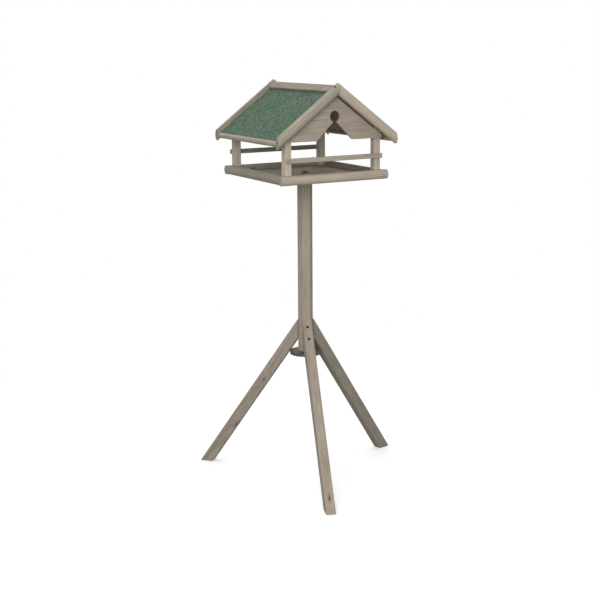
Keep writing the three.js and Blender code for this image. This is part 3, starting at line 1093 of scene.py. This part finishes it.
@dataclass
class Fixings:
    """All the screws and pins and the tray's washer, in the places of their nodes."""

    bench: Bench
    nodes: dict[str, bpy.types.Object]
    overrun: float = 15
    washer_diameter: float = 26
    washer_thickness: float = 2
    washer_bore: float = 7.6
    washer_ease: float = 0.3
    washer_steps: int = 48

    def placement(self, node: str) -> tuple[Matrix, float]:
        """Finds how a fastener lies from its node's mesh.

        Args:
            node: its node.

        Returns:
            What takes it there from zero, pointing down Z, and its length.
        """
        points = np.unique(np.round(points_of(self.nodes[node].data) / MM, 3), axis=0)
        centre = points.mean(0)
        direction = np.linalg.svd(points - centre)[2][0]
        along = (points - centre) @ direction
        radius = np.linalg.norm(points - centre - np.outer(along, direction), axis=1)
        if along[radius.argmax()] > (along.max() + along.min()) / 2:
            direction, along = -direction, -along
        head = Vector(centre + direction * along.min())
        return pointed(head, Vector(-direction)), float(along.max() - along.min())

    def drill(self, shape: Shape, place: Matrix, nodes: Sequence[str]) -> None:
        """Cuts the holes of fasteners into a piece.

        Args:
            shape: the piece, in its own directions.
            place: what takes the piece to the table.
            nodes: the fasteners' nodes.
        """
        holes = []
        for node in nodes:
            kind = kind_of(node)
            where, length = self.placement(node)
            hole = turned(kind.profile(length, FIT, self.overrun), kind.steps)
            hole.transform(place.inverted() @ where)
            if place.determinant() < 0:
                bmesh.ops.reverse_faces(hole, faces=hole.faces)
            holes.append(hole)
        carve(shape, holes)

    def build(self) -> None:
        """Makes every fastener and the washer."""
        for node in sorted(self.nodes):
            kind = kind_of(node)
            if kind:
                where, length = self.placement(node)
                self.bench.piece(kind.shape(length), node, where, Slot.ZINC)
        self._washer()

    def _washer(self) -> None:
        """Makes the washer under the tray's screw."""
        inner, outer, top = self.washer_bore / 2, self.washer_diameter / 2, self.washer_thickness
        section = [(inner, 0), (outer, 0), (outer, top), (inner, top)]
        ring = turned(section, self.washer_steps, closed=True)
        ease(ring, self.washer_ease)
        foot = self.bench.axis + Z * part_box("tray_washer")[0].z / MM
        self.bench.piece(ring, "tray_washer", Matrix.Translation(foot), Slot.ZINC)


@dataclass
class Joinery:
    """A wooden part of the table, with the bench and the fixings that it is built with."""

    bench: Bench
    fixings: Fixings

    def wooden(
        self,
        shape: Shape,
        node: str,
        place: Matrix,
        eased: float,
        fasteners: Sequence[str] = (),
        slot: Slot = Slot.PINE,
    ) -> None:
        """Eases a board's edges, drills it and makes it a piece.

        Args:
            shape: the shape, with the fibres along X and its face along Y.
            node: the node that the piece stands for.
            place: what takes the shape to the table.
            eased: how far its edges are rounded.
            fasteners: the nodes of the screws and pins that go into it.
            slot: its finish.
        """
        ease(shape, eased)
        if fasteners:
            self.fixings.drill(shape, place, fasteners)
        self.bench.timber(shape, node, place, slot)


# The tripod


@dataclass
class Tripod(Joinery):
    """The hexagonal pole, its three legs and the disc under it."""

    across_flats: float = 45
    pole_length: float = 598
    pole_ease: float = 1.2
    turn_degrees: float = 18
    leg_depth: float = 37
    leg_thickness: float = 32
    leg_top: float = 552
    leg_ease: float = 1.6
    foot_radius: float = 398
    disc_diameter: float = 108
    disc_thickness: float = 10
    disc_ease: float = 1.0
    disc_steps: int = 96

    @property
    def disc_top(self) -> Vector:
        """The middle of the disc's upper face."""
        return self.bench.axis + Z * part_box("base_disc")[1].z / MM

    def build(self) -> None:
        """Makes the pole, the disc and the legs."""
        self._pole()
        self._disc()
        for name in LEGS:
            self._leg(name)

    def _radial(self, leg: str) -> Vector:
        """The direction of a leg from the pole's axis."""
        turn = LEGS.index(leg) * FULL_TURN / len(LEGS)
        return Matrix.Rotation(turn - math.radians(self.turn_degrees), 3, "Z") @ -Y

    @staticmethod
    def _screws(leg: str) -> list[str]:
        """The nodes of a leg's screws."""
        return [f"leg_screw_{leg}_{end}" for end in ("upper", "lower")]

    def _pole(self) -> None:
        """Makes the pole: a planed hexagonal bar with eased corners, one flat to the front leg."""
        corners_apart = self.across_flats / math.cos(math.pi / HEXAGON_SIDES)
        lie = (
            Matrix.Rotation(math.pi / 2, 4, "Y")
            @ Matrix.Translation(Z * self.pole_length / 2)
            @ Matrix.Rotation(math.pi / HEXAGON_SIDES, 4, "Z")
        )
        shape = bmesh.new()
        prism(shape, corners_apart, self.pole_length, HEXAGON_SIDES, lie)
        place = to_place(Z, self._radial("front"), self.disc_top + Z * FIT)
        screws = [screw for leg in LEGS for screw in self._screws(leg)]
        self.wooden(shape, "pole", place, self.pole_ease, [*screws, "tray_screw", "disc_screw"])

    def _disc(self) -> None:
        """Makes the disc, with its screw's hole."""
        shape = bmesh.new()
        middle = Matrix.Translation(Z * -self.disc_thickness / 2)
        prism(shape, self.disc_diameter, self.disc_thickness, self.disc_steps, middle)
        place = Matrix.Translation(self.disc_top)
        self.wooden(shape, "base_disc", place, self.disc_ease, ["disc_screw"])

    def _leg(self, name: str) -> None:
        """Makes a leg: a square bar, plumb-cut at the pole and level at the foot.

        Args:
            name: the leg's name.
        """
        inner = self.across_flats / 2 + FIT
        slope = math.atan((self.foot_radius - inner) / self.leg_top)
        radial = self._radial(name)
        top = self.bench.axis + radial * inner + Z * self.leg_top
        along = radial * math.sin(slope) - Z * math.cos(slope)
        outward = radial * math.cos(slope) + Z * math.sin(slope)
        place = to_place(along, outward, top)
        spare = 2 * self.leg_depth
        length = self.leg_top / math.cos(slope) + 2 * spare
        size = Vector((length, self.leg_depth, self.leg_thickness))
        shape = block(size, Vector((-spare, -self.leg_depth, -self.leg_thickness / 2)))
        saw(shape, place, top, -radial)
        saw(shape, place, self.bench.axis, -Z)
        self.wooden(shape, "leg_" + name, place, self.leg_ease, self._screws(name))


# The tray


@dataclass
class Tray(Joinery):
    """The floor and its four rounded edge boards."""

    width: float = 352
    depth: float = 374
    floor_thickness: float = 12
    floor_ease: float = 0.5
    board_height: float = 30
    board_thickness: float = 20
    board_ease: float = 0.9
    nose: float = 12

    def build(self) -> None:
        """Makes the floor and the boards."""
        self._floor()
        full = self.width + 2 * (FIT + self.board_thickness)
        for end, sign in ENDS.items():
            self._board(end, Y * sign, full, self.depth / 2)
        for side in ("left", "right"):
            self._board(side, X * SIDES[side], self.depth, self.width / 2)

    def _floor(self) -> None:
        """Makes the floor, with the holes of the posts' screws and the pole's screw."""
        size = Vector((self.width, self.depth, self.floor_thickness))
        shape = block(size, Vector((-self.width / 2, -self.depth / 2, 0)))
        screws = [f"post_screw_{end}_{side}" for end in ENDS for side in SIDES] + ["tray_screw"]
        self.wooden(shape, "tray_floor", self.bench.tray, self.floor_ease, screws, Slot.PLYWOOD)

    def _board(self, name: str, outward: Vector, length: float, reach: float) -> None:
        """Makes an edge board.

        Args:
            name: the side of the tray.
            outward: the way that its nose points.
            length: its length.
            reach: from the middle of the tray to the floor's edge.
        """
        shape = nosed_board(length, self.board_height, self.board_thickness, self.nose)
        bmesh.ops.translate(shape, vec=X * -length / 2, verts=shape.verts)
        place = self.bench.tray @ to_place(Z.cross(outward), Z, outward * (reach + FIT))
        self.wooden(shape, "tray_board_" + name, place, self.board_ease)


# Posts, rails and gables


@dataclass
class House(Joinery):
    """The four posts, and the rail and gable panel across each end."""

    roof: Roof
    tray: Tray
    post_section: float = 23
    post_ease: float = 0.8
    rail_foot: float = 68
    rail_height: float = 15.5
    rail_thickness: float = 8
    rail_side_step: float = 3.5
    rail_ease: float = 1.2
    gable_thickness: float = 8
    gable_side: float = 9.9
    gable_ease: float = 0.8
    notch_half_width: float = 65
    notch_foot_radius: float = 9
    notch_steps: int = 6
    keyhole_diameter: float = 35
    keyhole_height: float = 75
    keyhole_neck: float = 10
    keyhole_steps: int = 24

    def build(self) -> None:
        """Makes the posts, rails and gables."""
        for end in ENDS:
            for side in SIDES:
                self._post(end, side)
            self._rail(end)
            self._gable(end)

    def _post(self, end: str, side: str) -> None:
        """Makes a post: a square bar with its top cut to the roof's slope.

        Args:
            end: its end of the table.
            side: its side.
        """
        half = self.post_section / 2
        foot = self.tray.floor_thickness + FIT
        across = X * SIDES[side] * (self.tray.width / 2 - half)
        outward = Y * ENDS[end] * (self.tray.depth / 2 - half)
        place = self.bench.tray @ to_place(Z, X, across + outward + Z * foot)
        reach = self.roof.apex - foot
        shape = block(Vector((reach, 2 * half, 2 * half)), Vector((0, -half, -half)))
        out = self.roof.out(side)
        saw(shape, place, self.bench.tray @ (Z * self.roof.apex) - out * FIT, out)
        fasteners = [f"{kind}_{end}_{side}" for kind in ("post_screw", "rail_pin", "gable_pin")]
        self.wooden(shape, f"post_{end}_{side}", place, self.post_ease, fasteners)

    def _across_end(self, shape: Shape, end: str, kind: str, height: float, eased: float) -> None:
        """Lays a rail or a gable panel on the posts at one end and makes it a piece.

        Args:
            shape: the shape, drawn as it is seen from outside.
            end: its end of the table.
            kind: what it is, a rail or a gable.
            height: the height of its lower edge over the tray's underside.
            eased: how far its edges are rounded.
        """
        outward = Y * ENDS[end]
        origin = outward * (self.tray.depth / 2 + FIT) + Z * height
        place = self.bench.tray @ to_place(Z.cross(outward), Z, origin)
        pins = [f"{kind}_pin_{end}_{side}" for side in SIDES]
        self.wooden(shape, f"{kind}_{end}", place, eased, pins)

    def _rail(self, end: str) -> None:
        """Makes a rail.

        Args:
            end: its end of the table.
        """
        size = Vector((self.tray.width, self.rail_height, self.rail_thickness))
        shape = block(size, Vector((self.rail_side_step - self.tray.width / 2, 0, 0)))
        self._across_end(shape, end, "rail", self.rail_foot, self.rail_ease)

    def _gable(self, end: str) -> None:
        """Makes a gable panel: half of its outline is drawn, mirrored, filled and extruded.

        Args:
            end: its end of the table.
        """
        shape = bmesh.new()
        radius = self.keyhole_diameter / 2
        neck = self.keyhole_neck / 2
        middle = Y * self.keyhole_height
        sweep = math.pi - math.asin(neck / radius)
        throat = spin_from(shape, middle + Y * radius, middle, -Z, sweep, self.keyhole_steps)[1]
        slope = math.atan2(throat.co.y, self.notch_half_width - neck)
        foot = self.notch_foot_radius
        turn = Vector((self.notch_half_width + foot * math.tan(slope / 2), foot, 0))
        start = turn - Vector((math.sin(slope), math.cos(slope), 0)) * foot
        flank, toe = spin_from(shape, start, turn, Z, slope, self.notch_steps)
        edge = self.tray.width / 2
        corner = shape.verts.new((edge, 0, 0))
        shoulder = shape.verts.new((edge, self.gable_side, 0))
        peak = shape.verts.new((0, self.gable_side + edge * math.tan(self.roof.pitch), 0))
        for pair in ((throat, flank), (toe, corner), (corner, shoulder), (shoulder, peak)):
            shape.edges.new(pair)
        everything = shape.verts[:] + shape.edges[:]
        bmesh.ops.mirror(shape, geom=everything, axis="X", merge_dist=MERGE)
        extrude_outline(shape, Z * self.gable_thickness)
        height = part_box("gable_" + end)[0].z / MM - self.bench.tray_foot
        self._across_end(shape, end, "gable", height, self.gable_ease)


# The roof


@dataclass
class Roof(Joinery):
    """The panels, the felt, the ridge boards, the eaves strips and the bargeboards.

    A place on a slope is measured down it and square out of it, from the panel's underside at the
    ridge. The front right quarter is drawn, and the others are its mirror images.
    """

    pitch: float = math.radians(36.5)
    apex: float = 281.909
    half_width: float = 218
    half_length: float = 206.7
    panel_thickness: float = 8
    panel_ease: float = 0.5
    felt_thickness: float = 2
    felt_cell: float = 3.5
    felt_wave: float = 0.35
    felt_wave_length: float = 45
    felt_ripple_length: float = 9
    felt_ripple_share: float = 0.5
    ridge_width: float = 30
    ridge_thickness: float = 8
    ridge_ease: float = 1.0
    strip_thickness: float = 13
    strip_depth: float = 18
    strip_inset: float = 3
    strip_nose: float = 8
    strip_ease: float = 0.8
    board_depth: float = 30
    board_thickness: float = 20
    board_proud: float = 14
    board_nose: float = 12
    board_ease: float = 1.3

    @property
    def felt_top(self) -> float:
        """The felt's upper face, square out of the slope."""
        return self.panel_thickness + FIT + self.felt_thickness

    @property
    def eaves_end(self) -> float:
        """Where the panel and the felt end, down the slope."""
        nose = self._along(self.half_width - self.strip_inset, self.panel_thickness / 2)
        return nose - self.strip_thickness - FIT

    @property
    def down(self) -> Vector:
        """The direction down the right slope."""
        return Vector((math.cos(self.pitch), 0, -math.sin(self.pitch)))

    def out(self, slope: str = "right") -> Vector:
        """The direction square out of a slope."""
        return Vector((SIDES[slope] * math.sin(self.pitch), 0, math.cos(self.pitch)))

    def _along(self, x: float, square: float) -> float:
        """Where a plumb plane crosses a layer of the slope, down the slope."""
        return x / math.cos(self.pitch) - square * math.tan(self.pitch)

    def _placed(
        self, slope: str, along: Vector, across: Vector, origin: Vector, end: str = "front"
    ) -> Matrix:
        """What lays a shape on the roof.

        Args:
            slope: its slope.
            along: the direction of its X, on the front right quarter.
            across: the direction of its Y there.
            origin: where its zero goes there, from the ridge of the panels' underside.
            end: its end of the table.

        Returns:
            The placement.
        """
        mirror = Matrix.Diagonal((SIDES[slope], -ENDS[end], 1, 1))
        return self.bench.tray @ mirror @ to_place(along, across, origin + Z * self.apex)

    def build(self) -> None:
        """Makes both slopes and their boards."""
        for slope in SIDES:
            self._panel(slope)
            self._felt(slope)
            self._ridge_board(slope)
            self._eaves_strip(slope)
            for end in ENDS:
                self._bargeboard(slope, end)

    @staticmethod
    def _screws(slope: str) -> list[str]:
        """The nodes of a ridge board's screws."""
        return [f"ridge_screw_{slope}_{end}" for end in ENDS]

    def _sheet(self, slope: str, foot: float, top: float, end: float) -> tuple[Shape, Matrix]:
        """A flat layer of a slope, plumb-cut at the ridge.

        Args:
            slope: the slope.
            foot: its lower face, square out of the slope.
            top: its upper face.
            end: its lower end, down the slope.

        Returns:
            The shape, with the fibres along the ridge, and its placement.
        """
        spare = 4 * top
        size = Vector((2 * self.half_length, end + spare, top - foot))
        shape = block(size, Vector((-self.half_length, -spare, foot)))
        place = self._placed(slope, -Y, self.down, Vector())
        side = X * SIDES[slope]
        saw(shape, place, self.bench.tray @ (side * FIT / 2), -side)
        return shape, place

    def _panel(self, slope: str) -> None:
        """Makes a roof panel.

        Args:
            slope: the slope.
        """
        shape, place = self._sheet(slope, 0, self.panel_thickness, self.eaves_end)
        node = "roof_panel_" + slope
        self.wooden(shape, node, place, self.panel_ease, self._screws(slope), Slot.PLYWOOD)

    def _felt(self, slope: str) -> None:
        """Makes a sheet of felt, which lies in faint waves.

        Args:
            slope: the slope.
        """
        shape, place = self._sheet(slope, self.panel_thickness + FIT, self.felt_top, self.eaves_end)
        for normal, reach in ((X, self.half_length), (Y, self.eaves_end)):
            for i in range(1, int(2 * reach / self.felt_cell)):
                bmesh.ops.bisect_plane(
                    shape,
                    geom=shape.verts[:] + shape.edges[:] + shape.faces[:],
                    dist=MERGE,
                    plane_co=normal * (i * self.felt_cell - reach),
                    plane_no=normal,
                )
        for vertex in shape.verts:
            if vertex.co.z > self.felt_top - MERGE:
                ripple = self.felt_ripple_share * noise.noise(vertex.co / self.felt_ripple_length)
                wave = noise.noise(vertex.co / self.felt_wave_length) + ripple
                vertex.co.z -= self.felt_wave * (1 + wave) / 2
        self.fixings.drill(shape, place, self._screws(slope))
        self.bench.piece(shape, "felt_" + slope, place, Slot.FELT)

    def _ridge_board(self, slope: str) -> None:
        """Makes a ridge board.

        Args:
            slope: the slope.
        """
        foot = self.felt_top + FIT
        top = foot + self.ridge_thickness
        shape, place = self._sheet(slope, foot, top, self._along(0, top) + self.ridge_width)
        self.wooden(shape, "ridge_board_" + slope, place, self.ridge_ease, self._screws(slope))

    def _eaves_strip(self, slope: str) -> None:
        """Makes an eaves strip.

        Args:
            slope: the slope.
        """
        length = 2 * self.half_length
        shape = nosed_board(length, self.strip_depth, self.strip_thickness, self.strip_nose)
        out = self.out()
        foot = self.down * (self.eaves_end + FIT) + out * (self.felt_top - self.strip_depth)
        place = self._placed(slope, Y, out, foot - Y * self.half_length)
        self.wooden(shape, "eaves_strip_" + slope, place, self.strip_ease)

    def _bargeboard(self, slope: str, end: str) -> None:
        """Makes a bargeboard, mitred at the ridge and plumb-cut at the eaves.

        Args:
            slope: its slope.
            end: its end of the table.
        """
        length = 2 * self.half_width
        shape = nosed_board(length, self.board_depth, self.board_thickness, self.board_nose)
        bmesh.ops.translate(shape, vec=X * -2 * self.board_depth, verts=shape.verts)
        out = self.out()
        foot = out * (self.felt_top + self.board_proud - self.board_depth)
        place = self._placed(slope, self.down, out, foot - Y * (self.half_length + FIT), end)
        side = X * SIDES[slope]
        saw(shape, place, self.bench.tray @ (side * FIT / 2), -side)
        saw(shape, place, self.bench.tray @ (side * self.half_width), side)
        node = f"bargeboard_{end}_{slope}"
        self.wooden(shape, node, place, self.board_ease, ["mitre_screw_" + end])


# The studio


@dataclass(frozen=True)
class Lamp:
    """A square soft lamp.

    Attributes:
        name: its name.
        place: where it hangs, in metres.
        size: its side, in metres.
        power: its power, in watts.
    """

    name: str
    place: tuple[float, float, float]
    size: float
    power: float


@dataclass
class Studio:
    """A pale floor, a white surround, soft lamps and the camera of the photograph."""

    lens: float = 69.154
    sensor: float = 36
    sight: float = 50  # how far the camera sees, in metres
    azimuth: float = -29.2432
    elevation: float = 12.8023
    roll: float = 0.3878
    distance: float = 3.921427
    aim_right: float = -0.086998
    aim_height: float = 0.618027
    surround: float = 0.5
    floor_radius: float = 6.0
    floor_steps: int = 96
    floor_fade: tuple[float, float] = (0.7, 1.9)
    floor_seen: str = "f2f1ef"
    floor_dim: str = "5f5d5a"
    floor_lift: float = 0.3
    lamp_aim: float = 0.7
    lamps: tuple[Lamp, ...] = (
        Lamp("key", (-2.3, -3.4, 1.9), 2.4, 112),
        Lamp("fill", (3.2, -2.6, 1.9), 2.6, 2),
        Lamp("top", (-0.2, 0.4, 4.2), 2.6, 36),
        Lamp("rear", (1.6, 3.6, 1.2), 2.6, 72),
    )

    def build(self) -> None:
        """Makes the camera, the world, the floor and the lamps."""
        self._camera()
        self._world()
        self._floor()
        for lamp in self.lamps:
            self._hang(lamp)
        bpy.context.scene.view_settings.view_transform = "Standard"

    def _camera(self) -> None:
        """Stands the camera where the photograph was taken from."""
        turn, lift = math.radians(self.azimuth), math.radians(self.elevation)
        back = Vector((math.sin(turn) * math.cos(lift), -math.cos(turn) * math.cos(lift), math.sin(lift)))
        right = Vector((math.cos(turn), math.sin(turn), 0))
        data = bpy.data.cameras.new("camera")
        data.lens = self.lens
        data.sensor_width = self.sensor
        data.clip_end = self.sight
        camera = add_object("camera", data)
        aim = Z * self.aim_height + right * self.aim_right
        tilt = Matrix.Rotation(-math.radians(self.roll), 4, "Z")
        camera.matrix_world = pointed(aim + back * self.distance, back) @ tilt
        bpy.context.scene.camera = camera

    @staticmethod
    def _seen(tree: Tree) -> Socket:
        """Whether a ray comes straight from the camera or by way of gloss or glass.

        Args:
            tree: the nodes to add to.

        Returns:
            A factor of one for such a ray and of zero otherwise.
        """
        path = add_node(tree, "LightPath").outputs
        seen = path["Is Camera Ray"]
        for ray in ("Is Glossy Ray", "Is Transmission Ray"):
            seen = add_node(tree, "Math", (seen, path[ray]), operation="MAXIMUM").outputs[0]
        return seen

    def _world(self) -> None:
        """Surrounds the table with soft light, which looks white to the camera."""
        world = bpy.data.worlds.new("surround")
        world.use_nodes = True
        tree = world.node_tree
        tree.nodes.clear()
        soft, white = (
            add_node(tree, "Background", {"Color": WHITE, "Strength": strength})
            for strength in (self.surround, 1.0)
        )
        mixed = add_node(tree, "MixShader", (self._seen(tree), soft, white))
        add_node(tree, "OutputWorld", (mixed,))
        bpy.context.scene.world = world

    def _floor(self) -> None:
        """Lays a pale floor that fades to the white surround and keeps the table's shadow.

        It is clear from below, so that the table can be seen from there too.
        """
        material, tree = new_material("pale_floor")
        place = add_node(tree, "TexCoord").outputs["Object"]
        reach = add_node(tree, "VectorMath", (place,), operation="LENGTH")
        fade = add_node(tree, "MapRange", (reach, *self.floor_fade), interpolation_type="SMOOTHSTEP")
        cloth, dim = (
            add_node(tree, "BsdfDiffuse", {"Color": linear(code)})
            for code in (self.floor_seen, self.floor_dim)
        )
        lift, white = (
            add_node(tree, "Emission", {"Color": WHITE, "Strength": strength})
            for strength in (self.floor_lift, 1.0)
        )
        shown = add_node(tree, "MixShader", (fade, add_node(tree, "AddShader", (cloth, lift)), white))
        mixed = add_node(tree, "MixShader", (self._seen(tree), dim, shown))
        below = add_node(tree, "NewGeometry").outputs["Backfacing"]
        clear = add_node(tree, "BsdfTransparent")
        add_node(tree, "OutputMaterial", (add_node(tree, "MixShader", (below, mixed, clear)),))
        shape = bmesh.new()
        bmesh.ops.create_circle(
            shape, cap_ends=True, segments=self.floor_steps, radius=self.floor_radius
        )
        mesh = to_mesh(shape, "floor")
        shape.free()
        mesh.materials.append(material)
        add_object("floor", mesh)

    def _hang(self, lamp: Lamp) -> None:
        """Hangs a lamp, facing the middle of the table.

        Args:
            lamp: the lamp.
        """
        data = bpy.data.lights.new(lamp.name, "AREA")
        data.shape = "SQUARE"
        data.size = lamp.size
        data.energy = lamp.power
        place = Vector(lamp.place)
        add_object(lamp.name, data).matrix_world = pointed(place, place - Z * self.lamp_aim)


def main() -> None:
    """Builds the table round its frame, and the studio round the table."""
    logging.basicConfig(level=logging.INFO, format="%(message)s")
    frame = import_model()
    low, high = (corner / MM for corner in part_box("tray_floor"))
    axis = Vector(((low.x + high.x) / 2, (low.y + high.y) / 2, 0))
    plywood = GlazedTimber(
        "glazed_plywood",
        early="8c7f69",
        late="76694f",
        warm="a08a70",
        cool="8e8a6a",
        ring_mm=11,
        wander_mm=8,
        patch=Streak(175, 70, 2),
    )
    finishes = {
        Slot.PINE: GlazedTimber("glazed_pine"),
        Slot.PLYWOOD: plywood,
        Slot.FELT: MineralFelt(),
        Slot.ZINC: DarkZinc(),
    }
    materials = {slot: finish.material() for slot, finish in finishes.items()}
    Studio().build()
    dusty = DarkZinc("dusty_zinc_plate", bright="7c7162", dull="5d5345", roughness=(0.65, 0.95))
    bench = Bench(materials, dusty.material(), axis, low.z)
    fixings = Fixings(bench, frame["nodes"])
    roof = Roof(bench, fixings)
    tray = Tray(bench, fixings)
    house = House(bench, fixings, roof, tray)
    for part in (Tripod(bench, fixings), tray, house, roof, fixings):
        part.build()
    log.info("%d pieces, the furthest box off by %.2f mm", bench.count, bench.worst)


if __name__ == "__main__":
    main()
